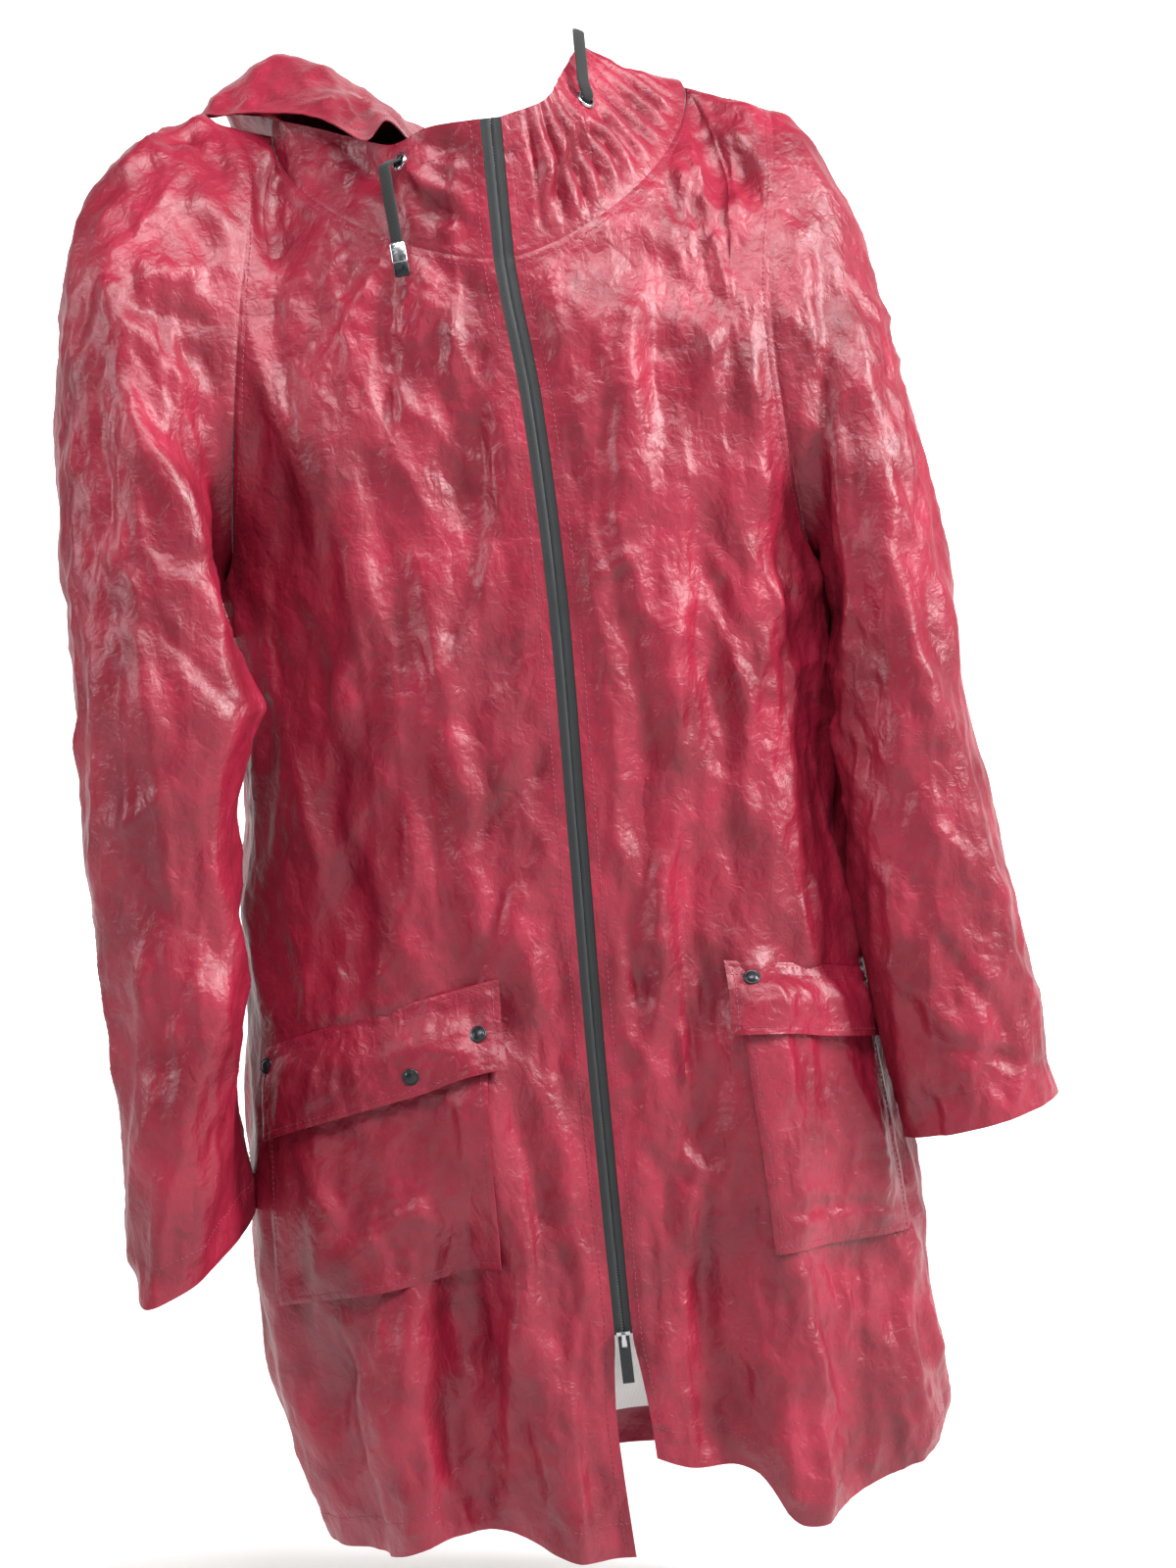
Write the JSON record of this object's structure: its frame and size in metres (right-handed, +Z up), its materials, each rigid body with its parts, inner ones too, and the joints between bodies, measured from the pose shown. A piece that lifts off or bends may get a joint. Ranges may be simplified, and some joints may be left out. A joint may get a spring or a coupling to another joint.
{
  "type": "hooded raincoat with front zip",
  "caption": "Hooded burgundy raincoat with a front zip, flap pockets with snaps and a drawcord hood, filled out as if worn, hood folded back on one side.",
  "frame": {"origin": "Inside the neck, on the plane of the shoulder seams and level with the neck points, where a wearer's shoulders hold the coat up", "axes": "+X to the right in the front view, +Y away from the viewer to the coat's back, +Z up"},
  "size_m": [0.6445, 0.3216, 1.0636],
  "materials": {
    "coated_cloth": "gloss",
    "zip_tape": "satin",
    "bright_metal": "gloss",
    "dark_metal": "satin",
    "cord_braid": "matte"
  },
  "bodies": {
    "coat": {"front_left": "coated_cloth", "front_right": "coated_cloth", "back": "coated_cloth", "sleeve_left": "coated_cloth", "sleeve_right": "coated_cloth", "hood_left": "coated_cloth", "hood_right": "coated_cloth", "pocket_left": "coated_cloth", "pocket_right": "coated_cloth", "flap_left": "coated_cloth", "flap_right": "coated_cloth", "zip_tape_left": "zip_tape", "zip_tape_right": "zip_tape", "zip_slider": "bright_metal", "zip_bridge": "bright_metal", "snap_left_1": "dark_metal", "snap_left_2": "dark_metal", "snap_left_3": "dark_metal", "snap_right_1": "dark_metal", "snap_right_2": "dark_metal", "eyelet_left": "bright_metal", "eyelet_right": "bright_metal", "cord_left": "cord_braid", "cord_right": "cord_braid", "cord_tip_left": "dark_metal", "cord_tip_right": "dark_metal"},
    "pull_tab": {"zip_pull": "dark_metal"}
  },
  "joints": [
    {"name": "pull_swing", "type": "hinge", "parent": "coat", "child": "pull_tab", "pos_m": [0.0035, -0.1356, -0.837], "axis": [-1, 0, 0], "range_deg": [0, 150]}
  ]
}
